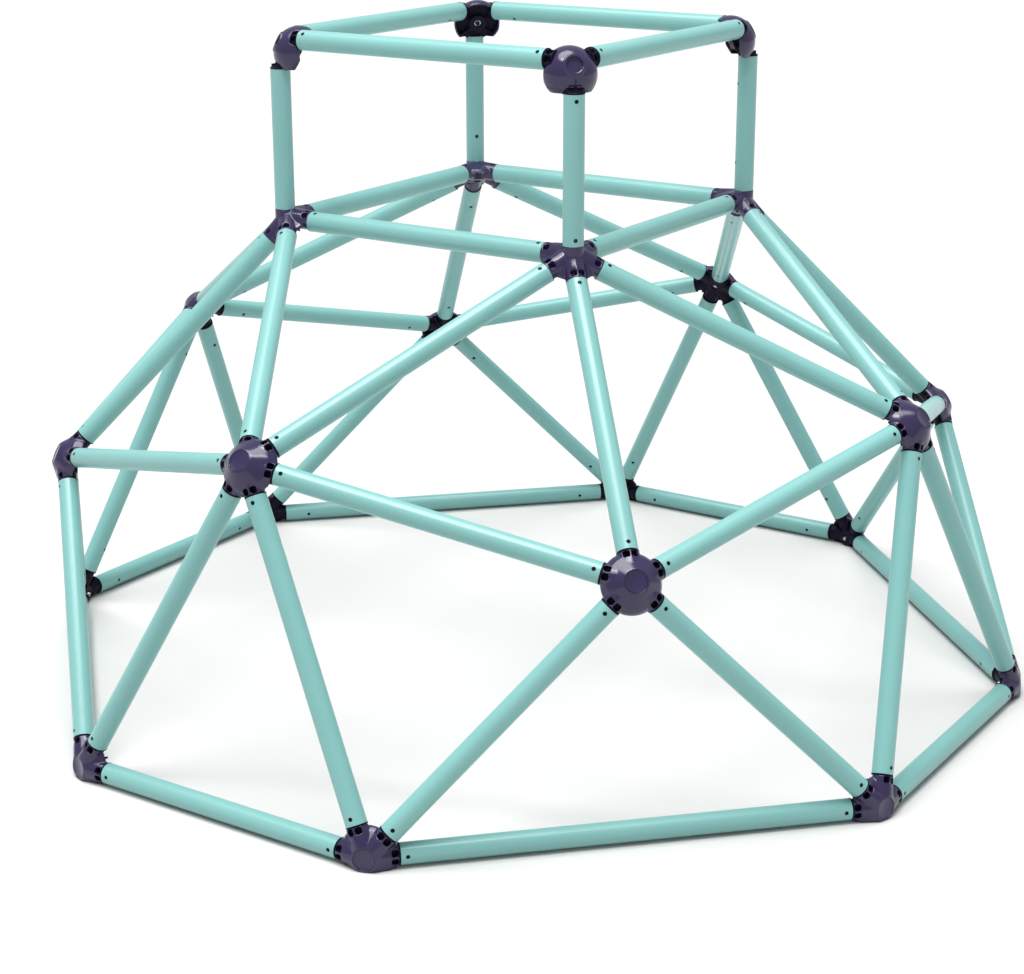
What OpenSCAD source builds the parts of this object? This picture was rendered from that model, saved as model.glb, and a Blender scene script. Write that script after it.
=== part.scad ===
// Dome climber: 56 straight tubes held by 24 moulded hubs.
// An eight-sided base ring stands on the ground, an eight-sided middle ring and a square
// upper ring stand above it on the dome, and four posts carry a square top frame.
// Origin: on the ground under the middle of the dome. Z is up, and the top frame's sides
// run along X and Y. All sizes are in millimetres.

/* [Frame] */
// Centre-to-centre length of the short tubes, and of each side of the upper square
bay = 586; // [500:1:760]
// How far the middle ring's four side joints stand outside the sphere of the other joints
side_bulge = 28; // [0:1:50]
// Height from the upper square's joints to the rails of the top frame
post_rise = 314; // [240:1:460]
// How far each post stands outside its upper joint, along X and along Y
post_offset = 5.5; // [0:0.5:9]
// Gap between the ground and the underside of the base rails
ground_gap = 2; // [1:0.5:8]

/* [Tubes] */
// Outside diameter of every tube
tube_d = 35; // [32:0.5:42]
// Wall thickness of every tube
tube_wall = 1.6; // [1.2:0.1:3]
// Distance from an upper joint's centre up to the foot of its post's tube
post_start = 19.5; // [18:0.5:26]

/* [Hubs] */
// Radius of the sphere that rounds the outside of a ring hub
dome_r = 54; // [50:0.5:66]
// Radius of the rim of a ring hub
rim_r = 45.5; // [43:0.5:50]
// Radius of the sphere that rounds the outside of a top corner hub
corner_r = 42; // [40:0.5:48]
// Radius of the rim of a top corner hub
corner_rim_r = 40.5; // [38:0.5:46]
// Wall thickness of a hub's cap
cap_wall = 3.5; // [2.5:0.1:5]
// Height of a middle hub's face above its joint's centre
middle_face = 21; // [18:0.5:26]
// Height of a base hub's face above its joint's centre
base_face = 15; // [12:0.5:20]
// Height of an upper hub's face above its joint's centre
upper_face = 12; // [9:0.5:13]
// Height of a top corner hub's face above its joint's centre
corner_face = 3; // [1:0.5:6]
// Upward tilt of the base hubs' faces, in degrees
base_tilt = 5; // [0:1:12]
// How far a ring hub's rim reaches below its joint's centre
rim_drop = 15; // [10:0.5:20]
// How far a top corner hub reaches behind its joint's centre
corner_drop = 41; // [38:0.5:46]
// Thickness of the collar that each tube butts against
collar_t = 2.5; // [2:0.5:5]
// Length of the spigot that goes inside each tube
spigot_length = 66; // [56:1:90]
// Width of each of the two pockets in the end of an arm
pocket_w = 11; // [7:0.5:12]
// Length of the pockets along the arm
pocket_length = 7.5; // [5:0.5:12]
// Depth of the pockets below the outside of the arm
pocket_depth = 13; // [6:0.5:16]
// Thickness of the rib between the two pockets of an arm
pocket_rib = 2.6; // [2:0.2:5]
// Thickness of the web that joins the arms
web_t = 5; // [3:0.5:8]
// Thickness of the ribs on the inside of a hub
rib_t = 3; // [2:0.5:6]

/* [Plugs and bolts] */
// Diameter of the round plug in the face of a base or middle hub
plug_d = 35; // [31:0.5:38]
// Thickness of a plug
plug_t = 3.2; // [2:0.1:5]
// Depth from a hub's face down to its plug
plug_sink = 0.8; // [0.4:0.1:1.5]
// Diameter of the raised ring on a top corner hub
ring_d = 40; // [37:0.5:43]
// Diameter of the recess inside the raised ring
ring_bore = 30; // [24:0.5:33]
// Height of the raised ring above the hub's face
ring_h = 1.6; // [0.5:0.1:3]
// Diameter of the centre bolts
bolt_d = 8; // [6:0.5:10]
// Diameter of the centre bolts' heads
bolt_head_d = 13; // [11:0.5:16]
// Height of the centre bolts' heads
bolt_head_h = 5; // [4:0.5:8]
// Distance across the corners of the centre nuts
nut_d = 15; // [13:0.5:18]
// Height of the centre nuts
nut_h = 6.5; // [5:0.5:9]

/* [Tube screws] */
// Diameter of the screw holes in the tubes
screw_hole_d = 7; // [5:0.5:9]
// Diameter of the screws' heads
screw_head_d = 6; // [4:0.5:8]
// Diameter of the screws' shanks
screw_d = 4; // [3:0.5:5]
// Length of the screws' shanks
screw_length = 10; // [7:0.5:13]
// Distance from a tube's end to the screw on its outer side
outer_screw_at = 10.5; // [8:0.5:16]
// Distance from a tube's end to the screw on its inner side
inner_screw_at = 50; // [36:0.5:52]

/* [Fits] */
// Gap on each side between two pieces that fit one inside the other
fit_gap = 0.3; // [0.2:0.05:0.4]

/* [Hidden] */
ring_joints = 8;
corners = 4;
overlap = 1;
smooth = 64;
half_bay = bay / 2;
dome_radius = sqrt(10) * half_bay;
base_height = tube_d / 2 + ground_gap;
upper_height = base_height + 2 * sqrt(2) * half_bay;
top_height = upper_height + post_rise;
tube_bore_r = tube_d / 2 - tube_wall;
spigot_r = tube_bore_r - fit_gap;
arm_r = tube_d / 2 - 1.5;
collar_r = tube_d / 2 + 0.4;
pocket_inset = 1;
// Two neighbouring arms part at this distance from a base joint, where they stand 45 degrees apart
arms_part = arm_r / tan(45 / 2);
arm_exit = arms_part + 1.4;
tube_start = arm_exit + pocket_inset + pocket_length + collar_t;
plug_floor = plug_t + plug_sink;
head_pocket = bolt_head_h + 1.5;
head_pocket_d = bolt_head_d + 4;
seat_below_face = 19;
core_boss_r = 17;
cap_boss_r = 21;
ring_recess = 12;
screw_head_h = tube_wall - 0.3;
screw_pocket = 0.6;
nut_cover = 2;
bolt_tip = 1;
core_depth = 22;
corner_web = 8;
far = 200;

// Joint centres. Joints are counted from 0 and wrap round their ring.
function quarter(p, j) = [p.x * cos(90 * j) - p.y * sin(90 * j), p.x * sin(90 * j) + p.y * cos(90 * j), p.z];
function unit(v) = v / norm(v);
function even(k) = k % 2 == 0;
function wrap(k, n) = (k + n) % n;

function base_joint(k) =
    let (i = wrap(k, ring_joints))
    quarter([even(i) ? 3 * half_bay : half_bay, even(i) ? half_bay : 3 * half_bay, base_height], floor(i / 2));

function corner_middle_joint(j) = quarter([2 * half_bay, 2 * half_bay, base_height + sqrt(2) * half_bay], j);
function side_middle_joint(j) =
    let (reach = dome_radius + side_bulge)
    quarter([0, reach * sqrt(2 / 3), base_height + reach * sqrt(1 / 3)], j);
function middle_joint(k) =
    let (i = wrap(k, ring_joints))
    even(i) ? corner_middle_joint(i / 2) : side_middle_joint((i - 1) / 2);

function upper_joint(j) = quarter([half_bay, half_bay, upper_height], wrap(j, corners));
function top_joint(j) = quarter([half_bay + post_offset, half_bay + post_offset, top_height], wrap(j, corners));
function post_foot(j) = quarter([half_bay + post_offset, half_bay + post_offset, upper_height], wrap(j, corners));

// The joints that each joint's tubes run to
function base_links(k) = [base_joint(k - 1), middle_joint(k - 1), middle_joint(k), base_joint(k + 1)];
function middle_links(k) =
    even(k)
        ? [base_joint(k), middle_joint(k - 1), upper_joint(k / 2), middle_joint(k + 1), base_joint(k + 1)]
        : [base_joint(k), middle_joint(k - 1), upper_joint((k - 1) / 2), upper_joint((k + 1) / 2),
           middle_joint(k + 1), base_joint(k + 1)];
function upper_links(j) =
    [upper_joint(j - 1), middle_joint(wrap(2 * j - 1, ring_joints)), middle_joint(2 * j),
     middle_joint(2 * j + 1), upper_joint(j + 1)];
function top_links(j) = [top_joint(j - 1), post_foot(j), top_joint(j + 1)];

// The way each hub's face looks
function sphere_out(p) = unit(p - [0, 0, base_height]);
function base_out(k) =
    let (p = base_joint(k), level = unit([p.x, p.y, 0]))
    level * cos(base_tilt) + [0, 0, sin(base_tilt)];
function top_out(j) = unit(quarter([1, 1, 1], j));

// Puts children with X along a direction and Z as near to an outward way as it can be
module aim(from, along, out) {
    x = unit(along);
    z = unit(out - (out * x) * x);
    y = cross(z, x);
    multmatrix([
        [x.x, y.x, z.x, from.x],
        [x.y, y.y, z.y, from.y],
        [x.z, y.z, z.z, from.z],
        [0, 0, 0, 1]
    ])
        children();
}

// Puts children with Z along a hub's outward way and X towards the hub's first tube
module face(from, first, out) {
    z = unit(out);
    x = unit((first - from) - ((first - from) * z) * z);
    y = cross(z, x);
    multmatrix([
        [x.x, y.x, z.x, from.x],
        [x.y, y.y, z.y, from.y],
        [x.z, y.z, z.z, from.z],
        [0, 0, 0, 1]
    ])
        children();
}

module rod(r, from, to) {
    translate([from, 0, 0])
        rotate([0, 90, 0])
            cylinder(r = r, h = to - from, $fn = smooth);
}

// A rounded hub outline: a sphere's cap, flat at its face, trimmed to a rim, shrunk by a wall
module dome(r, rim, face_h, drop, wall) {
    sphere_z = face_h - sqrt(r * r - plug_d * plug_d / 4);
    intersection() {
        translate([0, 0, sphere_z])
            sphere(r = r - wall, $fn = smooth);
        translate([0, 0, -drop])
            cylinder(r = rim - wall, h = drop + face_h, $fn = smooth);
    }
}

// One tube between two joints, with its screw holes
module tube(a, b, out_a, out_b, start_a = tube_start) {
    length = norm(b - a);
    difference() {
        aim(a, b - a, out_a)
            rod(tube_d / 2, start_a, length - tube_start);
        aim(a, b - a, out_a)
            rod(tube_bore_r, start_a - overlap, length - tube_start + overlap);
        aim(a, b - a, out_a)
            tube_holes(start_a);
        aim(b, a - b, out_b)
            tube_holes(tube_start);
    }
}

module tube_holes(start) {
    translate([start + outer_screw_at, 0, 0])
        cylinder(d = screw_hole_d, h = tube_d, $fn = smooth);
    translate([start + inner_screw_at, 0, -tube_d])
        cylinder(d = screw_hole_d, h = tube_d, $fn = smooth);
}

// The hole and the flat seat of one screw in a spigot, with Z pointing out of the spigot
module spigot_hole() {
    translate([0, 0, spigot_r - screw_pocket])
        cylinder(d = screw_hole_d, h = screw_pocket + overlap, $fn = smooth);
    translate([0, 0, spigot_r - screw_pocket - screw_length - overlap])
        cylinder(d = screw_d + 2 * fit_gap, h = screw_length + 2 * overlap, $fn = smooth);
}

module screw() {
    seat = spigot_r - screw_pocket;
    translate([0, 0, seat])
        cylinder(d = screw_head_d, h = screw_head_h, $fn = smooth);
    translate([0, 0, seat - screw_length])
        cylinder(d = screw_d, h = screw_length + overlap, $fn = smooth);
}

module at_screws(start) {
    translate([start + outer_screw_at, 0, 0])
        children();
    translate([start + inner_screw_at, 0, 0])
        rotate([180, 0, 0])
            children();
}

// The two pockets in the outer side of an arm, between the cap and the collar
module pockets() {
    pocket_start = arm_exit + pocket_inset;
    for (side = [-1, 1])
        translate([pocket_start, side * (pocket_rib + pocket_w) / 2 - pocket_w / 2, arm_r - pocket_depth])
            cube([pocket_length, pocket_w, tube_d]);
}

// The end of one arm: its last stretch, a collar and a spigot
module arm_end() {
    difference() {
        rod(arm_r, arm_exit - overlap, tube_start);
        pockets();
    }
    rod(collar_r, tube_start - collar_t, tube_start);
    plain_spigot(tube_start);
}

module plain_spigot(start) {
    difference() {
        rod(spigot_r, start - overlap, start + spigot_length);
        at_screws(start)
            spigot_hole();
    }
}

// The part of every arm that lies inside a hub's outline
module arms_inside(from, links, out, r, rim, face_h, drop) {
    intersection() {
        union() {
            for (to = links)
                aim(from, to - from, out)
                    rod(arm_r, 0, arm_exit);
        }
        face(from, links[0], out)
            dome(r, rim, face_h, drop, cap_wall + fit_gap);
    }
}

module arm_ends(from, links, out) {
    for (to = links)
        aim(from, to - from, out)
            arm_end();
}

// Ribs halfway between neighbouring arms, on the inside of a hub
module ribs(from, links, out, reach, low, high) {
    for (i = [0 : len(links) - 2]) {
        halfway = unit(links[i] - from) + unit(links[i + 1] - from);
        level = halfway - (halfway * out) * out;
        aim(from, level, out)
            translate([0, -rib_t / 2, -low])
                cube([reach, rib_t, low - high]);
    }
}

// The inner moulding of a hub: boss, web, ribs and one arm for each tube
module core(from, links, out, r, rim, face_h, drop, depth) {
    seat = face_h - seat_below_face;
    web_r = rim - cap_wall - 2 * fit_gap;
    difference() {
        union() {
            arms_inside(from, links, out, r, rim, face_h, depth);
            face(from, links[0], out) {
                translate([0, 0, -depth])
                    cylinder(r = core_boss_r, h = depth + seat, $fn = smooth);
                translate([0, 0, -drop])
                    cylinder(r = web_r, h = web_t, $fn = smooth);
            }
            ribs(from, links, out, web_r - overlap, depth, drop - overlap);
        }
        face(from, links[0], out) {
            translate([0, 0, seat])
                cylinder(r = cap_boss_r + fit_gap, h = far, $fn = smooth);
            translate([0, 0, -depth - overlap])
                cylinder(d = bolt_d + 2 * fit_gap, h = far, $fn = smooth);
            translate([0, 0, -depth - overlap])
                cylinder(d = nut_d + 2 * fit_gap, h = nut_h + nut_cover + overlap, $fn = 6);
        }
        for (to = links)
            aim(from, to - from, out)
                pockets();
    }
    arm_ends(from, links, out);
}

// The outer moulding of a hub, hollow, notched where the arms leave it
module cap(from, links, out, r, rim, face_h, drop) {
    seat = face_h - seat_below_face;
    difference() {
        face(from, links[0], out)
            union() {
                difference() {
                    dome(r, rim, face_h, drop, 0);
                    dome(r, rim, face_h, far, cap_wall);
                }
                translate([0, 0, seat])
                    cylinder(r = cap_boss_r, h = face_h - seat - overlap, $fn = smooth);
            }
        for (to = links)
            aim(from, to - from, out) {
                rod(arm_r + fit_gap, arm_exit - overlap - fit_gap, far);
                rod(collar_r + fit_gap, tube_start - collar_t - fit_gap, far);
            }
        face(from, links[0], out)
            translate([0, 0, seat - overlap])
                cylinder(d = bolt_d + 2 * fit_gap, h = far, $fn = smooth);
    }
}

// A base or middle cap: its face is recessed for a plug, over a recess for the bolt's head
module plug_cap(from, links, out, face_h, drop) {
    difference() {
        cap(from, links, out, dome_r, rim_r, face_h, drop);
        face(from, links[0], out) {
            translate([0, 0, face_h - plug_floor])
                cylinder(d = plug_d, h = far, $fn = smooth);
            translate([0, 0, face_h - plug_floor - head_pocket])
                cylinder(d = head_pocket_d, h = far, $fn = smooth);
        }
    }
}

module bolt(top, tip) {
    difference() {
        translate([0, 0, top])
            cylinder(d = bolt_head_d, h = bolt_head_h, $fn = smooth);
        translate([0, 0, top + bolt_head_h / 2])
            cylinder(d = bolt_d * 0.8, h = bolt_head_h, $fn = 6);
    }
    translate([0, 0, tip])
        cylinder(d = bolt_d, h = top - tip + overlap, $fn = smooth);
}

module nut(depth) {
    translate([0, 0, -depth + nut_cover])
        difference() {
            cylinder(d = nut_d, h = nut_h, $fn = 6);
            translate([0, 0, -overlap])
                cylinder(d = bolt_d + fit_gap, h = nut_h + 2 * overlap, $fn = smooth);
        }
}

// Keeps only what is above the ground
module above_ground() {
    difference() {
        children();
        translate([-2 * dome_radius, -2 * dome_radius, -far])
            cube([4 * dome_radius, 4 * dome_radius, far]);
    }
}

// Carries children made for the first base joint to another one; every second one is a mirror image
module at_base_joint(k) {
    rotate([0, 0, 90 * floor(k / 2)])
        mirror(even(k) ? [0, 0, 0] : [1, -1, 0])
            children();
}

module base_hub(k) {
    color("indigo")
        at_base_joint(k)
            above_ground()
                core(base_joint(0), base_links(0), base_out(0), dome_r, rim_r, base_face, rim_drop, core_depth);
}

module middle_hub(k) {
    joint = middle_joint(k);
    color("indigo")
        core(joint, middle_links(k), sphere_out(joint), dome_r, rim_r, middle_face, rim_drop, core_depth);
}

// An upper hub is one solid moulding, with a socket on top for its post
module upper_hub(j) {
    joint = upper_joint(j);
    links = upper_links(j);
    out = sphere_out(joint);
    color("indigo") {
        difference() {
            union() {
                face(joint, links[0], out)
                    dome(dome_r, rim_r, upper_face, rim_drop, 0);
                for (to = links)
                    aim(joint, to - joint, out)
                        rod(arm_r, 0, arm_exit);
                ribs(joint, links, out, rim_r - 2, core_depth, rim_drop - overlap);
                face(joint, links[0], out)
                    translate([0, 0, -core_depth])
                        cylinder(r = core_boss_r, h = core_depth, $fn = smooth);
            }
            for (to = links)
                aim(joint, to - joint, out)
                    pockets();
        }
        arm_ends(joint, links, out);
        aim(post_foot(j), [0, 0, 1], out) {
            rod(collar_r, 0, post_start);
            plain_spigot(post_start);
        }
    }
}

module top_hub(j) {
    color("indigo")
        core(top_joint(j), top_links(j), top_out(j), corner_r, corner_rim_r, corner_face,
             corner_drop - corner_web, corner_drop);
}

module base_caps() {
    color("darkslateblue")
        for (k = [0 : ring_joints - 1])
            at_base_joint(k)
                above_ground()
                    plug_cap(base_joint(0), base_links(0), base_out(0), base_face, rim_drop);
}

module middle_caps(first) {
    color("darkslateblue")
        for (k = [first : 2 : ring_joints - 1])
            plug_cap(middle_joint(k), middle_links(k), sphere_out(middle_joint(k)), middle_face, rim_drop);
}

module top_caps() {
    color("darkslateblue")
        for (j = [0 : corners - 1]) {
            joint = top_joint(j);
            links = top_links(j);
            difference() {
                union() {
                    cap(joint, links, top_out(j), corner_r, corner_rim_r, corner_face, corner_drop);
                    face(joint, links[0], top_out(j))
                        translate([0, 0, corner_face - ring_recess - overlap])
                            cylinder(d = ring_d, h = ring_recess + overlap + ring_h, $fn = smooth);
                }
                face(joint, links[0], top_out(j)) {
                    translate([0, 0, corner_face - ring_recess])
                        cylinder(d = ring_bore, h = far, $fn = smooth);
                    translate([0, 0, corner_face - far])
                        cylinder(d = bolt_d + 2 * fit_gap, h = far, $fn = smooth);
                }
            }
        }
}

module base_rail(k) {
    color("aquamarine")
        tube(base_joint(k), base_joint(k + 1), base_out(k), base_out(k + 1));
}

// The two struts that run down from a middle joint to the base ring
module lower_struts(k) {
    joint = middle_joint(k);
    color("aquamarine")
        for (b = [k, k + 1])
            tube(joint, base_joint(b), sphere_out(joint), base_out(b));
}

// The two rails that run along the middle ring from a side joint
module middle_rails(j) {
    joint = side_middle_joint(j);
    color("aquamarine")
        for (m = [2 * j, 2 * j + 2])
            tube(joint, middle_joint(m), sphere_out(joint), sphere_out(middle_joint(m)));
}

// The three struts that run down from an upper joint to the middle ring
module upper_struts(j) {
    joint = upper_joint(j);
    color("aquamarine")
        for (m = [2 * j - 1 : 2 * j + 1])
            tube(joint, middle_joint(m), sphere_out(joint), sphere_out(middle_joint(m)));
}

module upper_rails() {
    color("aquamarine")
        for (j = [0 : corners - 1])
            tube(upper_joint(j), upper_joint(j + 1), sphere_out(upper_joint(j)), sphere_out(upper_joint(j + 1)));
}

module posts() {
    color("aquamarine")
        for (j = [0 : corners - 1])
            tube(post_foot(j), top_joint(j), sphere_out(upper_joint(j)), top_out(j), post_start);
}

module top_rails() {
    color("aquamarine")
        for (j = [0 : corners - 1])
            tube(top_joint(j), top_joint(j + 1), top_out(j), top_out(j + 1));
}

module plugs() {
    color("midnightblue") {
        for (k = [0 : ring_joints - 1]) {
            face(base_joint(k), base_links(k)[0], base_out(k))
                plug(base_face);
            face(middle_joint(k), middle_links(k)[0], sphere_out(middle_joint(k)))
                plug(middle_face);
        }
    }
}

module plug(face_h) {
    translate([0, 0, face_h - plug_floor])
        cylinder(d = plug_d - 2 * fit_gap, h = plug_t, $fn = smooth);
}

module centre_bolts() {
    below = plug_floor + head_pocket;
    color("silver") {
        for (k = [0 : ring_joints - 1]) {
            face(base_joint(k), base_links(k)[0], base_out(k))
                bolt(base_face - below, -core_depth + bolt_tip);
            face(middle_joint(k), middle_links(k)[0], sphere_out(middle_joint(k)))
                bolt(middle_face - below, -core_depth + bolt_tip);
        }
        for (j = [0 : corners - 1])
            face(top_joint(j), top_links(j)[0], top_out(j))
                bolt(corner_face - ring_recess, -corner_drop + bolt_tip);
    }
}

module centre_nuts() {
    color("silver") {
        for (k = [0 : ring_joints - 1]) {
            face(base_joint(k), base_links(k)[0], base_out(k))
                nut(core_depth);
            face(middle_joint(k), middle_links(k)[0], sphere_out(middle_joint(k)))
                nut(core_depth);
        }
        for (j = [0 : corners - 1])
            face(top_joint(j), top_links(j)[0], top_out(j))
                nut(corner_drop);
    }
}

module hub_screws(from, links, out) {
    for (to = links)
        aim(from, to - from, out)
            at_screws(tube_start)
                screw();
}

module tube_screws() {
    color("dimgray") {
        for (k = [0 : ring_joints - 1]) {
            hub_screws(base_joint(k), base_links(k), base_out(k));
            hub_screws(middle_joint(k), middle_links(k), sphere_out(middle_joint(k)));
        }
        for (j = [0 : corners - 1]) {
            hub_screws(upper_joint(j), upper_links(j), sphere_out(upper_joint(j)));
            hub_screws(top_joint(j), top_links(j), top_out(j));
            aim(post_foot(j), [0, 0, 1], sphere_out(upper_joint(j)))
                at_screws(post_start)
                    screw();
        }
    }
}

base_hub(0);  // base_hub_1
base_hub(1);  // base_hub_2
base_hub(2);  // base_hub_3
base_hub(3);  // base_hub_4
base_hub(4);  // base_hub_5
base_hub(5);  // base_hub_6
base_hub(6);  // base_hub_7
base_hub(7);  // base_hub_8
middle_hub(0);  // middle_hub_1
middle_hub(1);  // middle_hub_2
middle_hub(2);  // middle_hub_3
middle_hub(3);  // middle_hub_4
middle_hub(4);  // middle_hub_5
middle_hub(5);  // middle_hub_6
middle_hub(6);  // middle_hub_7
middle_hub(7);  // middle_hub_8
upper_hub(0);  // upper_hub_1
upper_hub(1);  // upper_hub_2
upper_hub(2);  // upper_hub_3
upper_hub(3);  // upper_hub_4
top_hub(0);  // top_hub_1
top_hub(1);  // top_hub_2
top_hub(2);  // top_hub_3
top_hub(3);  // top_hub_4
base_caps();
middle_caps(0);  // middle_corner_caps
middle_caps(1);  // middle_side_caps
top_caps();
base_rail(0);  // base_rail_1
base_rail(1);  // base_rail_2
base_rail(2);  // base_rail_3
base_rail(3);  // base_rail_4
base_rail(4);  // base_rail_5
base_rail(5);  // base_rail_6
base_rail(6);  // base_rail_7
base_rail(7);  // base_rail_8
lower_struts(0);  // lower_struts_1
lower_struts(1);  // lower_struts_2
lower_struts(2);  // lower_struts_3
lower_struts(3);  // lower_struts_4
lower_struts(4);  // lower_struts_5
lower_struts(5);  // lower_struts_6
lower_struts(6);  // lower_struts_7
lower_struts(7);  // lower_struts_8
middle_rails(0);  // middle_rails_1
middle_rails(1);  // middle_rails_2
middle_rails(2);  // middle_rails_3
middle_rails(3);  // middle_rails_4
upper_struts(0);  // upper_struts_1
upper_struts(1);  // upper_struts_2
upper_struts(2);  // upper_struts_3
upper_struts(3);  // upper_struts_4
upper_rails();
posts();
top_rails();
plugs();
centre_bolts();
centre_nuts();
tube_screws();
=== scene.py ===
import math

import bpy
from mathutils import Matrix, Vector


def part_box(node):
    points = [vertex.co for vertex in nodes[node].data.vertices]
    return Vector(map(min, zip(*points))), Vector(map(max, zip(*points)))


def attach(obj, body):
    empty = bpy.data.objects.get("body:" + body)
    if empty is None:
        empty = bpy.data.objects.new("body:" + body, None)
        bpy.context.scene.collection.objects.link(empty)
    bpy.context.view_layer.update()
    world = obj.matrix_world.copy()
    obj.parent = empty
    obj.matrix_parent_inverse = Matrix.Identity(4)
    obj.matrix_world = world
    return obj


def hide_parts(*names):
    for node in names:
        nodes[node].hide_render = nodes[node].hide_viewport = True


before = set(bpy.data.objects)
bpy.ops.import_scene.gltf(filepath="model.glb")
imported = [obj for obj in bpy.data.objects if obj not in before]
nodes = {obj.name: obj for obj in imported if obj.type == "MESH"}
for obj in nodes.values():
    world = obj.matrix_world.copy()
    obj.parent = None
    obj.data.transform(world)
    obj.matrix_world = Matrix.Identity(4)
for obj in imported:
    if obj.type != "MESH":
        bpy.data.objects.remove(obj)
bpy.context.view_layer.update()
here = Matrix.Identity(4)
print("frame loaded:", len(nodes), "CAD nodes")


def clearSelection():
    bpy.ops.object.select_all(action="DESELECT")


def makeActive(obj):
    clearSelection()
    obj.select_set(True)
    bpy.context.view_layer.objects.active = obj


def applyModifier(obj, kind, **settings):
    makeActive(obj)
    modifier = obj.modifiers.new(kind.lower(), kind)
    for key, value in settings.items():
        setattr(modifier, key, value)
    bpy.ops.object.modifier_apply(modifier=modifier.name)


def joinAll(parts, name):
    clearSelection()
    for part in parts:
        part.select_set(True)
    bpy.context.view_layer.objects.active = parts[0]
    if len(parts) > 1:
        bpy.ops.object.join()
    parts[0].name = parts[0].data.name = name
    return parts[0]


def settle(obj):
    # puts the object's place, turn and scale into its mesh
    makeActive(obj)
    bpy.ops.object.transform_apply(location=True, rotation=True, scale=True)
    return obj


def combine(target, tool, operation):
    # union, difference or intersection with a second shape, which is used up
    applyModifier(target, "BOOLEAN", operation=operation, object=tool, solver="MANIFOLD")
    bpy.data.objects.remove(tool)
    return target


def aimed(at, along, out):
    # X runs along a direction, and Z is as near to the outward way as it can be
    x = along.normalized()
    z = (out - out.dot(x) * x).normalized()
    y = z.cross(x)
    turn = Matrix((x, y, z)).transposed().to_4x4()
    return Matrix.Translation(at) @ turn


def rod(place, radius, start, end, sides=64, endRadius=None):
    # a round bar along the X of a place
    middle = Matrix.Translation(((start + end) / 2, 0, 0)) @ Matrix.Rotation(math.pi / 2, 4, "Y")
    clearSelection()
    bpy.ops.mesh.primitive_cone_add(vertices=sides, radius1=radius, radius2=endRadius or radius, depth=end - start)
    bar = bpy.context.object
    bar.matrix_world = place @ middle
    return settle(bar)


def disc(place, radius, low, high, sides=96):
    # a round plate across the Z of a place
    clearSelection()
    bpy.ops.mesh.primitive_cylinder_add(vertices=sides, radius=radius, depth=high - low)
    plate = bpy.context.object
    plate.matrix_world = place @ Matrix.Translation((0, 0, (low + high) / 2))
    return settle(plate)


def block(place, low, high):
    clearSelection()
    bpy.ops.mesh.primitive_cube_add(size=1)
    box = bpy.context.object
    size = Vector(high) - Vector(low)
    box.matrix_world = place @ Matrix.Translation((Vector(low) + Vector(high)) / 2) @ Matrix.Diagonal((*size, 1))
    return settle(box)


def ball(place, radius, height):
    clearSelection()
    bpy.ops.mesh.primitive_uv_sphere_add(segments=96, ring_count=64, radius=radius)
    sphere = bpy.context.object
    sphere.matrix_world = place @ Matrix.Translation((0, 0, height))
    return settle(sphere)


def copyPiece(source, name, turn):
    copy = source.copy()
    copy.data = source.data.copy()
    bpy.context.scene.collection.objects.link(copy)
    copy.name = copy.data.name = name
    copy.data.transform(turn)
    if turn.determinant() < 0:
        copy.data.flip_normals()
    return copy


def soften(obj, voxel, rounds, share):
    # one skin over the whole shape, with its edges rubbed down
    applyModifier(obj, "REMESH", mode="VOXEL", voxel_size=voxel, use_smooth_shade=True)
    applyModifier(obj, "SMOOTH", factor=0.5, iterations=rounds)
    applyModifier(obj, "DECIMATE", ratio=share)
    makeActive(obj)
    bpy.ops.object.shade_smooth()
    return obj


railLow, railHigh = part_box("base_rail_1")
upperLow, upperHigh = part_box("upper_rails")
topLow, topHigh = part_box("top_rails")
tubeRadius = (railHigh.z - railLow.z) / 2
baseHeight = (railHigh.z + railLow.z) / 2
upperHeight = (upperHigh.z + upperLow.z) / 2
topHeight = (topHigh.z + topLow.z) / 2
halfBay = upperHigh.x - tubeRadius
topReach = topHigh.x - tubeRadius
domeShape = {"sideBulge": 0.028, "sides": 8}

# every ring joint lies on one sphere about this centre, the side joints a little outside it
domeCentre = Vector((0, 0, baseHeight))
sideReach = math.sqrt(10) * halfBay + domeShape["sideBulge"]


def quarter(place, count):
    return Matrix.Rotation(count * math.pi / 2, 4, "Z") @ place


def baseJoint(k):
    k = k % domeShape["sides"]
    near = Vector((halfBay, 3 * halfBay, baseHeight)) if k % 2 else Vector((3 * halfBay, halfBay, baseHeight))
    return quarter(near, k // 2)


def middleJoint(k):
    k = k % domeShape["sides"]
    if k % 2:
        side = Vector((0, sideReach * math.sqrt(2 / 3), baseHeight + sideReach * math.sqrt(1 / 3)))
        return quarter(side, k // 2)
    return quarter(Vector((2 * halfBay, 2 * halfBay, baseHeight + math.sqrt(2) * halfBay)), k // 2)


def upperJoint(j):
    return quarter(Vector((halfBay, halfBay, upperHeight)), j % 4)


def topJoint(j):
    return quarter(Vector((topReach, topReach, topHeight)), j % 4)


def postFoot(j):
    return quarter(Vector((topReach, topReach, upperHeight)), j % 4)


def sphereOut(joint):
    return (joint - domeCentre).normalized()


print("tube radius", round(tubeRadius, 4), "half bay", round(halfBay, 4))


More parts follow.
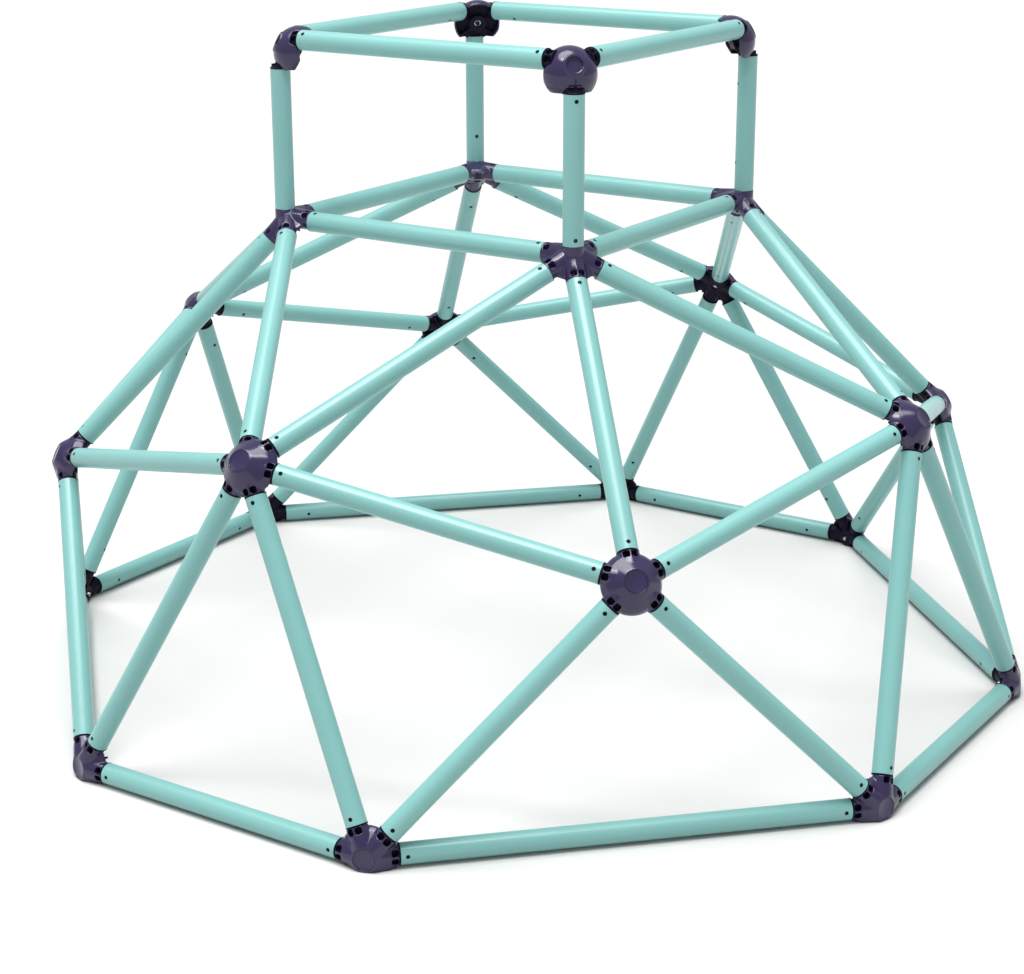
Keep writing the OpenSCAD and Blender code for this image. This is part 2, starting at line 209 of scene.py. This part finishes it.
hubShape = {
    "armRadius": tubeRadius - 0.0023,
    "collarRadius": tubeRadius + 0.0004,
    "collarThickness": 0.0025,
    "spigotRadius": tubeRadius - 0.0019,
    "spigotLength": 0.066,
    "flareStart": 0.008,
    "flareRise": {"base": 0.0028, "middle": 0.0046, "upper": 0.0030},
    "flareTip": tubeRadius + 0.0004,
    "flareDrop": 0.003,
    "capWall": 0.0035,
    "webThickness": 0.005,
    "ribThickness": 0.003,
    "shortRib": 0.030,
    "ribInset": 0.001,
    "bossRadius": 0.017,
    "nutHole": 0.0078,
    "nutHoleDepth": 0.0085,
    "boltHole": 0.0043,
    "armStart": 0.004,
    "armNeck": 0.0015,
    "armSetback": 0.0014,
    "armReach": 0.011,
    "postStart": 0.0195,
    "room": 2,
    "clearance": 0.0003,
    "overlap": 0.0005,
    "weld": 0.001,
    "boltWell": 0.019,
    "boltWellRadius": 0.0213,
}
pocketShape = {
    "start": 0.0365,
    "end": 0.0474,
    "width": 0.0104,
    "depth": 0.012,
    "rib": 0.0026,
    "corner": 0.003,
}
ringShape = {
    "sphere": 0.050,
    "rim": 0.0485,
    "coneFoot": 0.0505,
    "coneTop": 0.0190,
    "coneHeight": 0.027,
    "skirtPast": 0.01,
    "skirtLap": 0.0001,
    "drop": 0.015,
    "depth": 0.022,
    "plugRadius": 0.0175,
    "plugFloor": 0.0044,
    "chamfer": 0.0014,
    "chamferInset": 0.001,
    "chamferRise": 0.002,
}
cornerShape = {
    "sphere": 0.0455,
    "rim": 0.0450,
    "drop": 0.043,
    "web": 0.010,
    "faceLean": 0.72,
    "ring": 0.0185,
    "ringHeight": 0.0016,
    "ringDepth": 0.006,
    "bore": 0.0135,
    "boreFloor": 0.0040,
    "boltSeat": 0.012,
    "railShows": 0.034,
    "postShows": 0.042,
    "seamStart": 0.0265,
    "seamWidth": 0.0022,
    "seamDepth": 0.0026,
}
faceHeight = {"base": 0.015, "middle": 0.021, "upper": 0.012, "top": -0.0005}
skin = {"voxel": 0.0008, "capRounds": 6, "bodyRounds": 4, "upperRounds": 14, "capShare": 0.22, "bodyShare": 0.16}
baseTilt = math.radians(5)
wide = 0.2  # well past any hub, for cutting right through
post = 1  # the post's place among a corner's three arms

# two arms an eighth of a turn apart clear each other from here on
armExit = (tubeRadius - hubShape["armNeck"]) / math.tan(math.pi / 8) + hubShape["armSetback"]
tubeStart = armExit + hubShape["armReach"]
collarStart = tubeStart - hubShape["collarThickness"]


def linksOf(kind, k):
    if kind == "base":
        return [baseJoint(k - 1), middleJoint(k - 1), middleJoint(k), baseJoint(k + 1)]
    if kind == "upper":
        below = [middleJoint(2 * k + step) for step in (-1, 0, 1)]
        return [upperJoint(k - 1), *below, upperJoint(k + 1)]
    if kind == "top":
        return [topJoint(k - 1), postFoot(k), topJoint(k + 1)]
    above = [upperJoint(k // 2)] if k % 2 == 0 else [upperJoint(k // 2), upperJoint(k // 2 + 1)]
    return [baseJoint(k), middleJoint(k - 1), *above, middleJoint(k + 1), baseJoint(k + 1)]


def jointOf(kind, k):
    return {"base": baseJoint, "middle": middleJoint, "upper": upperJoint, "top": topJoint}[kind](k)


def outOf(kind, joint):
    if kind == "base":
        level = Vector((joint.x, joint.y, 0)).normalized()
        return level * math.cos(baseTilt) + Vector((0, 0, math.sin(baseTilt)))
    if kind == "top":
        return cornerOut(joint, cornerShape["faceLean"])
    return sphereOut(joint)


def cornerOut(joint, lean):
    return Vector((math.copysign(1, joint.x), math.copysign(1, joint.y), lean)).normalized()


def faceCentre(kind, joint, out):
    # a corner cap's ball hangs diagonally under its joint, and its face looks out a little lower
    if kind != "top":
        return joint
    return joint + (out - cornerOut(joint, 1)) * (sphereDrop(cornerShape) - faceHeight["top"])


def facePlace(joint, link, out):
    # Z looks outwards, and X leans towards the first tube
    x = (link - joint) - (link - joint).dot(out) * out
    x.normalize()
    turn = Matrix((x, out.cross(x), out)).transposed().to_4x4()
    return Matrix.Translation(joint) @ turn


def cutPockets(target, arm, outerRadius):
    # two pockets in an arm's outer side, with a thin rib between them
    for side in (-1, 1):
        near = side * pocketShape["rib"] / 2
        far = side * (pocketShape["rib"] / 2 + pocketShape["width"])
        low = (pocketShape["start"], min(near, far), tubeRadius - pocketShape["depth"])
        high = (pocketShape["end"], max(near, far), outerRadius)
        pocket = block(arm, low, high)
        applyModifier(pocket, "BEVEL", width=pocketShape["corner"], segments=3)
        combine(target, pocket, "DIFFERENCE")


def coneOf(place, footRadius, topRadius, low, high):
    # a tapered plate across the Z of a place
    return rod(place @ Matrix.Rotation(-math.pi / 2, 4, "Y"), footRadius, low, high, sides=96, endRadius=topRadius)


def sphereDrop(shape):
    # how far a cap's sphere centre lies under its flat face
    return math.sqrt(shape["sphere"] ** 2 - ringShape["plugRadius"] ** 2)


def domeSolid(place, shape, high, low, shrink):
    # a sphere's cap, flat at its face and trimmed to a rim; a ring hub's flanks are flattened to a cone
    dome = ball(place, shape["sphere"] - shrink, high - sphereDrop(shape))
    if "coneFoot" in shape:
        foot = high - shape["coneHeight"]
        slope = coneOf(place, shape["coneFoot"] - shrink, shape["coneTop"] - shrink / 2, foot, high)
        skirt = disc(place, wide, low - shape["skirtPast"], foot + shape["skirtLap"])
        combine(slope, skirt, "UNION")
        combine(dome, slope, "INTERSECT")
    return combine(dome, disc(place, shape["rim"] - shrink, low, high), "INTERSECT")


def addFlares(target, kind, arms):
    # half pipes that carry the dome out over each arm
    radius = tubeRadius + hubShape["flareRise"][kind]
    end = collarStart - hubShape["overlap"]
    for arm in arms:
        flare = rod(arm, radius, hubShape["flareStart"], end, endRadius=hubShape["flareTip"])
        combine(flare, block(arm, (0, -wide, -hubShape["flareDrop"]), (wide, wide, wide)), "INTERSECT")
        combine(target, flare, "UNION")


def armShows(k):
    # how far out a corner's ball hides its arms
    return cornerShape["postShows"] if k == post else cornerShape["railShows"]


def cutSeam(cap, place, arm):
    # a fine seam from a corner's ring down to its post
    high, low = faceHeight["top"], -cornerShape["drop"]
    half = cornerShape["seamWidth"] / 2
    seam = block(arm, (cornerShape["seamStart"], -half, -wide), (wide, half, wide))
    combine(seam, domeSolid(place, cornerShape, high, low, cornerShape["seamDepth"]), "DIFFERENCE")
    combine(seam, disc(place, cornerShape["ring"], low, wide), "DIFFERENCE")
    combine(seam, block(arm, (-wide, -wide, 0), (wide, wide, wide)), "INTERSECT")
    combine(cap, seam, "DIFFERENCE")


def capOf(kind, place, arms):
    corner = kind == "top"
    shape = cornerShape if corner else ringShape
    high = faceHeight[kind]
    low = -shape["drop"]
    cap = domeSolid(place, shape, high, low, 0)
    if not corner:
        addFlares(cap, kind, arms)
    combine(cap, domeSolid(place, shape, high, -wide, hubShape["capWall"]), "DIFFERENCE")
    for k, arm in enumerate(arms):
        if corner:
            combine(cap, block(arm, (tubeStart, -wide, -wide), (wide, wide, wide)), "DIFFERENCE")
        cutPockets(cap, arm, wide)
        armStart = armShows(k) if corner else hubShape["armStart"]
        collarEnd = collarStart - hubShape["overlap"]
        combine(cap, rod(arm, hubShape["armRadius"] + hubShape["clearance"], armStart, wide), "DIFFERENCE")
        combine(cap, rod(arm, hubShape["collarRadius"] + hubShape["clearance"], collarEnd, wide), "DIFFERENCE")
    if corner:
        combine(cap, disc(place, shape["ring"], high - shape["ringDepth"], high + shape["ringHeight"]), "UNION")
        combine(cap, disc(place, shape["bore"], high - shape["boreFloor"], wide), "DIFFERENCE")
        cutSeam(cap, place, arms[post])
    else:
        combine(cap, disc(place, shape["plugRadius"], high - shape["plugFloor"], wide), "DIFFERENCE")
        foot = shape["plugRadius"] - shape["chamferInset"]
        top = shape["plugRadius"] + shape["chamfer"] + shape["chamferRise"]
        chamfer = coneOf(place, foot, top, high - shape["chamfer"], high + shape["chamferRise"])
        combine(cap, chamfer, "DIFFERENCE")
    return cap


def bodyOf(kind, place, arms):
    # a web with ribs and a boss behind it, and an arm to each tube
    corner = kind == "top"
    shape = cornerShape if corner else ringShape
    depth = cornerShape["drop"] if corner else ringShape["depth"]
    webLow = -(cornerShape["drop"] - cornerShape["web"]) if corner else -ringShape["drop"]
    webRadius = shape["rim"] - hubShape["capWall"] - 2 * hubShape["clearance"]
    webJoin = webLow + hubShape["weld"]
    high = faceHeight[kind]
    out = place.col[2].xyz
    body = disc(place, webRadius, webLow, webLow + hubShape["webThickness"])
    combine(body, disc(place, hubShape["bossRadius"], -depth, webJoin), "UNION")
    half = hubShape["ribThickness"] / 2
    ribEnd = hubShape["shortRib"] if kind == "upper" else webRadius - hubShape["ribInset"]
    for first, second in zip(arms[:-1], arms[1:]):
        halfway = first.col[0].xyz + second.col[0].xyz
        rib = aimed(place.translation, halfway - halfway.dot(out) * out, out)
        combine(body, block(rib, (0, -half, -depth), (ribEnd, half, webJoin)), "UNION")
    for arm in arms:
        combine(body, rod(arm, hubShape["armRadius"], 0, tubeStart - hubShape["overlap"]), "UNION")
    if corner:
        # the arms stay inside the ball
        keep = domeSolid(place, shape, high, -wide, hubShape["capWall"] + hubShape["clearance"])
        for k, arm in enumerate(arms):
            combine(keep, rod(arm, hubShape["collarRadius"], armShows(k), wide), "UNION")
        combine(body, keep, "INTERSECT")
        well = cornerShape["ring"] + hubShape["weld"]
        combine(body, disc(place, well, high - hubShape["boltWell"], wide), "DIFFERENCE")
    elif kind != "upper":
        combine(body, disc(place, hubShape["boltWellRadius"], high - hubShape["boltWell"], wide), "DIFFERENCE")
    combine(body, disc(place, hubShape["boltHole"], -wide, wide), "DIFFERENCE")
    nutTop = -depth + hubShape["nutHoleDepth"]
    combine(body, disc(place, hubShape["nutHole"], -wide, nutTop, sides=6), "DIFFERENCE")
    if kind == "upper":
        combine(body, domeSolid(place, shape, high, -shape["drop"], 0), "UNION")
        addFlares(body, kind, arms)
    for arm in arms:
        cutPockets(body, arm, wide)
        combine(body, rod(arm, hubShape["collarRadius"], collarStart, tubeStart), "UNION")
    return body


def spigotOf(arm, start):
    # the round tongue inside a tube's end
    end = start + hubShape["spigotLength"]
    return rod(arm, hubShape["spigotRadius"], start - hubShape["weld"], end, sides=32)


def makeHub(kind, k):
    # one hub's moulding and cap, where its face is, and where each of its tubes starts
    joint = jointOf(kind, k)
    out = outOf(kind, joint)
    links = linksOf(kind, k)
    place = facePlace(faceCentre(kind, joint, out), links[0], out)
    arms = [aimed(joint, link - joint, out) for link in links]
    starts = [(arm, tubeStart) for arm in arms]
    body = bodyOf(kind, place, arms)
    if kind == "upper":
        socket = aimed(postFoot(k), Vector((0, 0, 1)), out)
        combine(body, rod(socket, hubShape["collarRadius"], 0, hubShape["postStart"]), "UNION")
        starts.append((socket, hubShape["postStart"]))
    cap = None if kind == "upper" else capOf(kind, place, arms)
    if kind == "base":
        # cut flat at the ground
        room = hubShape["room"]
        for part in (body, cap):
            combine(part, block(here, (-room, -room, 0), (room, room, room)), "INTERSECT")
    rounds = skin["upperRounds"] if kind == "upper" else skin["bodyRounds"]
    soften(body, skin["voxel"], rounds, skin["bodyShare"])
    if cap:
        soften(cap, skin["voxel"], skin["capRounds"], skin["capShare"])
    body = joinAll([body, *(spigotOf(arm, start) for arm, start in starts)], kind + "Hub")
    return body, cap, place, starts


class Value:
    # a socket whose sums and products add Math nodes
    def __init__(self, shade, socket):
        self.shade = shade
        self.socket = socket

    def math(self, operation, first, second):
        return self.shade.add("ShaderNodeMath", {"operation": operation}, {0: first, 1: second})

    def __add__(self, other):
        return self.math("ADD", self, other)

    def __radd__(self, other):
        return self.math("ADD", other, self)

    def __sub__(self, other):
        return self.math("SUBTRACT", self, other)

    def __rsub__(self, other):
        return self.math("SUBTRACT", other, self)

    def __mul__(self, other):
        return self.math("MULTIPLY", self, other)

    def __rmul__(self, other):
        return self.math("MULTIPLY", other, self)


class Shade:
    # one material and its nodes
    def __init__(self, name):
        self.material = bpy.data.materials.new(name)
        self.material.use_nodes = True
        self.tree = self.material.node_tree
        self.tree.nodes.clear()
        self.end = self.tree.nodes.new("ShaderNodeOutputMaterial")

    def add(self, kind, settings, inputs, output=0):
        node = self.tree.nodes.new(kind)
        for key, value in settings.items():
            setattr(node, key, value)
        for key, value in inputs.items():
            if isinstance(value, Value):
                self.tree.links.new(value.socket, node.inputs[key])
            else:
                node.inputs[key].default_value = value
        return Value(self, node.outputs[output])

    def place(self):
        return self.add("ShaderNodeTexCoord", {}, {}, "Object")

    def noise(self, scale, detail=3.0):
        return self.add("ShaderNodeTexNoise", {}, {"Vector": self.place(), "Scale": scale, "Detail": detail})

    def blend(self, amount, first, second):
        inputs = {"Factor": amount, "A": first, "B": second}
        return self.add("ShaderNodeMix", {"data_type": "RGBA"}, inputs, "Result")

    def bump(self, height, strength, distance):
        return self.add("ShaderNodeBump", {}, {"Height": height, "Strength": strength, "Distance": distance})

    def finish(self, inputs):
        surface = self.add("ShaderNodeBsdfPrincipled", {}, inputs)
        self.tree.links.new(surface.socket, self.end.inputs["Surface"])
        return self.material


def colour(red, green, blue):
    # screen colours, 0 to 255, as the linear values that the shader needs
    def linear(level):
        level = level / 255
        return level / 12.92 if level <= 0.04045 else ((level + 0.055) / 1.055) ** 2.4
    return (linear(red), linear(green), linear(blue), 1.0)


mintPaint = {
    "gloss": 0.5,
    "peelDistance": 0.0004,
    "base": colour(119, 172, 169),
    "pale": colour(125, 178, 175),
    "roughness": 0.30,
    "roughnessSpread": 0.10,
    "peelScale": 420.0,
    "peelStrength": 0.10,
    "cloudScale": 9.0,
}


def makeMint():
    shade = Shade("mintPaint")
    cloud = shade.noise(mintPaint["cloudScale"])
    peel = shade.noise(mintPaint["peelScale"], 2.0)
    spread = mintPaint["roughnessSpread"]
    return shade.finish({
        "Base Color": shade.blend(cloud, mintPaint["base"], mintPaint["pale"]),
        "Roughness": cloud * spread + (mintPaint["roughness"] - spread / 2),
        "Normal": shade.bump(peel, mintPaint["peelStrength"], mintPaint["peelDistance"]),
        "Specular IOR Level": mintPaint["gloss"],
    })


indigoPlastic = {
    "shell": (colour(41, 33, 68), colour(46, 38, 74)),
    # the hub bodies are the same plastic as the shells; their darker tones here are painted shade
    "inside": (colour(17, 14, 30), colour(22, 18, 37)),
    "roughness": 0.17,
    "insideRoughness": 0.42,
    "shellGloss": 0.5,
    "insideGloss": 0.08,
    "roughnessSpread": 0.12,
    "grainScale": 1500.0,
    "grainStrength": 0.06,
    "grainDistance": 0.0002,
    "swirlScale": 40.0,
}


def makeIndigo(name, tones, roughness, gloss):
    shade = Shade(name)
    swirl = shade.noise(indigoPlastic["swirlScale"])
    grain = shade.noise(indigoPlastic["grainScale"], 2.0)
    spread = indigoPlastic["roughnessSpread"]
    return shade.finish({
        "Base Color": shade.blend(swirl, *tones),
        "Roughness": swirl * spread + (roughness - spread / 2),
        "Normal": shade.bump(grain, indigoPlastic["grainStrength"], indigoPlastic["grainDistance"]),
        "Specular IOR Level": gloss,
    })


zincSteel = {
    "dark": colour(150, 152, 158),
    "light": colour(196, 198, 202),
    "roughness": 0.3,
    "roughnessSpread": 0.15,
    "grainScale": 900.0,
    "grainStrength": 0.15,
    "grainDistance": 0.0002,
}


def makeZinc():
    shade = Shade("zincSteel")
    grain = shade.noise(zincSteel["grainScale"])
    return shade.finish({
        "Base Color": shade.blend(grain, zincSteel["dark"], zincSteel["light"]),
        "Metallic": 1.0,
        "Roughness": grain * zincSteel["roughnessSpread"] + zincSteel["roughness"],
        "Normal": shade.bump(grain, zincSteel["grainStrength"], zincSteel["grainDistance"]),
    })


blackOxide = {
    "dark": colour(7, 7, 10),
    "light": colour(16, 16, 21),
    "roughness": 0.4,
    "roughnessSpread": 0.2,
    "gloss": 0.2,
    "grainScale": 1200.0,
    "grainStrength": 0.2,
    "grainDistance": 0.0002,
}


def makeBlack():
    shade = Shade("blackOxide")
    grain = shade.noise(blackOxide["grainScale"])
    return shade.finish({
        "Base Color": shade.blend(grain, blackOxide["dark"], blackOxide["light"]),
        "Roughness": grain * blackOxide["roughnessSpread"] + blackOxide["roughness"],
        "Normal": shade.bump(grain, blackOxide["grainStrength"], blackOxide["grainDistance"]),
        "Specular IOR Level": blackOxide["gloss"],
    })


floorPaint = {
    "dark": colour(206, 206, 205),
    "light": colour(209, 209, 208),
    "cloudScale": 1.5,
    "roughness": 0.85,
    "gloss": 0.1,
}


def makeFloorPaint():
    shade = Shade("studioFloor")
    cloud = shade.noise(floorPaint["cloudScale"])
    return shade.finish({
        "Base Color": shade.blend(cloud, floorPaint["dark"], floorPaint["light"]),
        "Roughness": floorPaint["roughness"],
        "Specular IOR Level": floorPaint["gloss"],
    })


mint = makeMint()
shellIndigo = makeIndigo(
    "indigoShell",
    indigoPlastic["shell"],
    indigoPlastic["roughness"],
    indigoPlastic["shellGloss"],
)
# the hub bodies' material: the shell plastic made darker as painted shade, with a weaker reflection
insideIndigo = makeIndigo(
    "indigoPaintedShade",
    indigoPlastic["inside"],
    indigoPlastic["insideRoughness"],
    indigoPlastic["insideGloss"],
)
zinc = makeZinc()
black = makeBlack()
print("materials made")


def paint(obj, material):
    obj.data.materials.clear()
    obj.data.materials.append(material)
    return obj


def own(obj, material, slotName, *stoodFor):
    paint(obj, material)
    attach(obj, "root")
    if stoodFor:
        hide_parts(*stoodFor)
    return obj


spotsOf = {"base": [], "middle": [], "upper": [], "top": []}


def turnBetween(kind, k):
    # carries the first hub of a kind to its k-th place
    if kind == "base":
        # every second base hub mirrors the first across the diagonal
        swapped = Matrix(((0, 1, 0, 0), (1, 0, 0, 0), (0, 0, 1, 0), (0, 0, 0, 1)))
        return Matrix.Rotation((k // 2) * math.pi / 2, 4, "Z") @ (swapped if k % 2 else here)
    count = k // 2 if kind == "middle" else k
    return Matrix.Rotation(count * math.pi / 2, 4, "Z")


def buildHubs(kind, first, members, capNode):
    body, cap, place, starts = makeHub(kind, first)
    print(kind, "hub", first + 1, "modelled:", len(body.data.polygons), "faces")
    for k in members:
        turn = turnBetween(kind, k)
        last = k == members[-1]
        for piece, label, material, slotName, node in (
            # hub bodies, except the upper ones, take the darker indigo, which is painted shade
            (body, "Hub", insideIndigo if kind != "upper" else shellIndigo, "hub_plastic", f"{kind}_hub_{k + 1}"),
            (cap, "Cap", shellIndigo, "cap_plastic", capNode),
        ):
            if piece is None:
                continue
            copy = copyPiece(piece, f"{kind}{label}{k + 1}", turn)
            own(copy, material, slotName, node)
            if last:
                bpy.data.objects.remove(piece)
        spotsOf[kind].append((turn @ place, [(turn @ arm, start) for arm, start in starts]))


buildHubs("base", 0, range(8), "base_caps")
buildHubs("middle", 0, range(0, 8, 2), "middle_corner_caps")
buildHubs("middle", 1, range(1, 8, 2), "middle_side_caps")
buildHubs("upper", 0, range(4), None)
buildHubs("top", 0, range(4), "top_caps")


def faceUp(obj):
    # edit mode with only the topmost flat face selected
    makeActive(obj)
    bpy.ops.object.mode_set(mode="EDIT")
    bpy.ops.mesh.select_all(action="DESELECT")
    bpy.ops.object.mode_set(mode="OBJECT")
    top = max(polygon.center.z for polygon in obj.data.polygons)
    for polygon in obj.data.polygons:
        polygon.select = polygon.center.z > top - 1e-6
    bpy.ops.object.mode_set(mode="EDIT")
    bpy.ops.mesh.select_mode(type="FACE")


fixingShape = {"bevelAngle": 35.0, "shadeAngle": 40.0, "screwAngle": 35.0, "join": 0.001, "past": 0.01}


def breakEdges(obj, width):
    angle = math.radians(fixingShape["bevelAngle"])
    applyModifier(obj, "BEVEL", width=width, segments=2, limit_method="ANGLE", angle_limit=angle)
    makeActive(obj)
    bpy.ops.object.shade_smooth_by_angle(angle=math.radians(fixingShape["shadeAngle"]))
    return obj


plugShape = {"radius": 0.0172, "thickness": 0.0032, "sink": 0.0012, "rim": 0.0016, "dish": 0.0003, "edge": 0.0006}


def makePlug():
    # a plate with a shallow dish, its outer face at height 0
    plug = disc(here, plugShape["radius"], -plugShape["thickness"], 0)
    faceUp(plug)
    bpy.ops.mesh.inset(thickness=plugShape["rim"])
    bpy.ops.mesh.extrude_region_move(TRANSFORM_OT_translate={"value": (0, 0, -plugShape["dish"])})
    bpy.ops.object.mode_set(mode="OBJECT")
    return breakEdges(plug, plugShape["edge"])


boltShape = {
    "headRadius": 0.0065,
    "headHeight": 0.005,
    "socket": 0.0034,
    "socketDepth": 0.0025,
    "shank": 0.004,
    "edge": 0.0005,
    "ringLength": 0.030,
    "ringSeat": 0.0105,
    "cornerLength": 0.031,
}


def makeBolt(length):
    # a socket-head bolt with the underside of its head at height 0
    bolt = disc(here, boltShape["headRadius"], 0, boltShape["headHeight"], sides=32)
    combine(bolt, disc(here, boltShape["shank"], -length, fixingShape["join"], sides=24), "UNION")
    socketLow = boltShape["headHeight"] - boltShape["socketDepth"]
    combine(bolt, disc(here, boltShape["socket"], socketLow, fixingShape["past"], sides=6), "DIFFERENCE")
    return breakEdges(bolt, boltShape["edge"])


nutShape = {"radius": 0.0075, "height": 0.0065, "hole": 0.00415, "edge": 0.0006, "cover": 0.002}


def makeNut():
    # a hexagon nut, its outer face at height 0
    nut = disc(here, nutShape["radius"], 0, nutShape["height"], sides=6)
    hole = disc(here, nutShape["hole"], -fixingShape["join"], fixingShape["past"], sides=24)
    combine(nut, hole, "DIFFERENCE")
    return breakEdges(nut, nutShape["edge"])


screwShape = {
    "head": 0.003,
    "height": 0.0013,
    "socket": 0.0017,
    "socketDepth": 0.0009,
    "shank": 0.002,
    "length": 0.010,
    "outer": 0.0105,
    "inner": 0.050,
    "pocket": 0.0006,
    "join": 0.0002,
}


def makeScrew():
    # a small pan-head screw with the underside of its head at height 0
    screw = disc(here, screwShape["head"], 0, screwShape["height"], sides=12)
    faceUp(screw)
    bpy.ops.mesh.inset(thickness=screwShape["head"] - screwShape["socket"])
    bpy.ops.mesh.extrude_region_move(TRANSFORM_OT_translate={"value": (0, 0, -screwShape["socketDepth"])})
    bpy.ops.object.mode_set(mode="OBJECT")
    shank = disc(here, screwShape["shank"], -screwShape["length"], screwShape["join"], sides=8)
    screw = joinAll([screw, shank], "screw")
    bpy.ops.object.shade_smooth_by_angle(angle=math.radians(fixingShape["screwAngle"]))
    return screw


def scatter(source, name, places, material, slotName, node):
    # copies of one shape at many places, as one piece
    copies = [copyPiece(source, f"{name}Copy{i}", place) for i, place in enumerate(places)]
    bpy.data.objects.remove(source)
    own(joinAll(copies, name), material, slotName, node)


def up(height):
    return Matrix.Translation((0, 0, height))


plugPlaces, screwPlaces = [], []
boltPlaces, cornerBoltPlaces = [], []
nutPlaces, cornerNutPlaces = [], []
for kind, spots in spotsOf.items():
    for place, arms in spots:
        if kind in ("base", "middle"):
            plugPlaces.append(place @ up(faceHeight[kind] - plugShape["sink"]))
            boltPlaces.append(place @ up(faceHeight[kind] - boltShape["ringSeat"]))
            nutPlaces.append(place @ up(-ringShape["depth"] + nutShape["cover"]))
        elif kind == "top":
            cornerBoltPlaces.append(place @ up(faceHeight[kind] - cornerShape["boltSeat"]))
            cornerNutPlaces.append(place @ up(-cornerShape["drop"] + nutShape["cover"]))
        seat = up(hubShape["spigotRadius"] - screwShape["pocket"])
        underside = Matrix.Rotation(math.pi, 4, "X") @ seat
        for arm, start in arms:
            outer = arm @ Matrix.Translation((start + screwShape["outer"], 0, 0)) @ seat
            inner = arm @ Matrix.Translation((start + screwShape["inner"], 0, 0)) @ underside
            screwPlaces += [outer, inner]

scatter(makePlug(), "facePlugs", plugPlaces, shellIndigo, "cap_plastic", "plugs")
scatter(makeBolt(boltShape["ringLength"]), "ringBolts", boltPlaces, zinc, "bolt_steel", "centre_bolts")
scatter(makeBolt(boltShape["cornerLength"]), "cornerBolts", cornerBoltPlaces, black, "bolt_steel", "centre_bolts")
scatter(makeNut(), "ringNuts", nutPlaces, black, "bolt_steel", "centre_nuts")
scatter(makeNut(), "cornerNuts", cornerNutPlaces, zinc, "bolt_steel", "centre_nuts")
scatter(makeScrew(), "tubeScrews", screwPlaces, black, "screw_black", "tube_screws")
print("fixings:", len(plugPlaces), "plugs,", len(nutPlaces), "nuts,", len(screwPlaces), "screws")


for name, node in nodes.items():
    if any(word in name for word in ("rail", "struts", "posts")):
        paint(node, mint)


studio = {
    "floorSize": 60.0,
    "skyStrength": 0.5,
    "sunStrength": 3.9,
    "sunAngle": 50.0,
    "sunTilt": (7.0, 6.0),
    "stripLight": {"at": (1.0, 0.4, 3.0), "size": (1.5, 0.35), "power": 22.0},
}


def makeFloor():
    clearSelection()
    bpy.ops.mesh.primitive_plane_add(size=studio["floorSize"])
    floor = bpy.context.object
    floor.name = "studioFloor"
    paint(floor, makeFloorPaint())


def makeLight(name, settings, target):
    data = bpy.data.lights.new(name, "AREA")
    data.shape = "RECTANGLE"
    data.size, data.size_y = settings["size"]
    data.energy = settings["power"]
    lamp = bpy.data.objects.new(name, data)
    bpy.context.scene.collection.objects.link(lamp)
    lamp.location = settings["at"]
    lamp.rotation_euler = (target - lamp.location).to_track_quat("-Z", "Y").to_euler()


def makeSun():
    # one wide, soft light from above, as even on the floor as on the dome
    data = bpy.data.lights.new("softSun", "SUN")
    data.energy = studio["sunStrength"]
    data.angle = math.radians(studio["sunAngle"])
    lamp = bpy.data.objects.new("softSun", data)
    bpy.context.scene.collection.objects.link(lamp)
    lamp.rotation_euler = [math.radians(tilt) for tilt in (*studio["sunTilt"], 0)]


def makeSky():
    world = bpy.data.worlds.new("studioSky")
    world.use_nodes = True
    background = world.node_tree.nodes["Background"]
    background.inputs["Color"].default_value = (1.0, 1.0, 1.0, 1.0)
    background.inputs["Strength"].default_value = studio["skyStrength"]
    bpy.context.scene.world = world


view = {
    "at": (3.2127, 2.0932, 1.5775),
    "target": (0.0078, -0.0119, 0.3205),
    "roll": -0.12,
    "lens": 75.38,
    "sensor": 36.0,
}


def makeCamera():
    data = bpy.data.cameras.new("camera")
    data.lens = view["lens"]
    data.sensor_width = view["sensor"]
    data.sensor_fit = "HORIZONTAL"
    camera = bpy.data.objects.new("camera", data)
    bpy.context.scene.collection.objects.link(camera)
    at = Vector(view["at"])
    look = (Vector(view["target"]) - at).to_track_quat("-Z", "Y").to_matrix().to_4x4()
    camera.matrix_world = Matrix.Translation(at) @ look @ Matrix.Rotation(math.radians(view["roll"]), 4, "Z")
    bpy.context.scene.camera = camera


makeFloor()
middleOfDome = Vector((0, 0, topHeight / 2))
makeSun()
makeLight("stripLight", studio["stripLight"], middleOfDome)
makeSky()
makeCamera()
bpy.context.scene.view_settings.view_transform = "Standard"
print("studio ready")
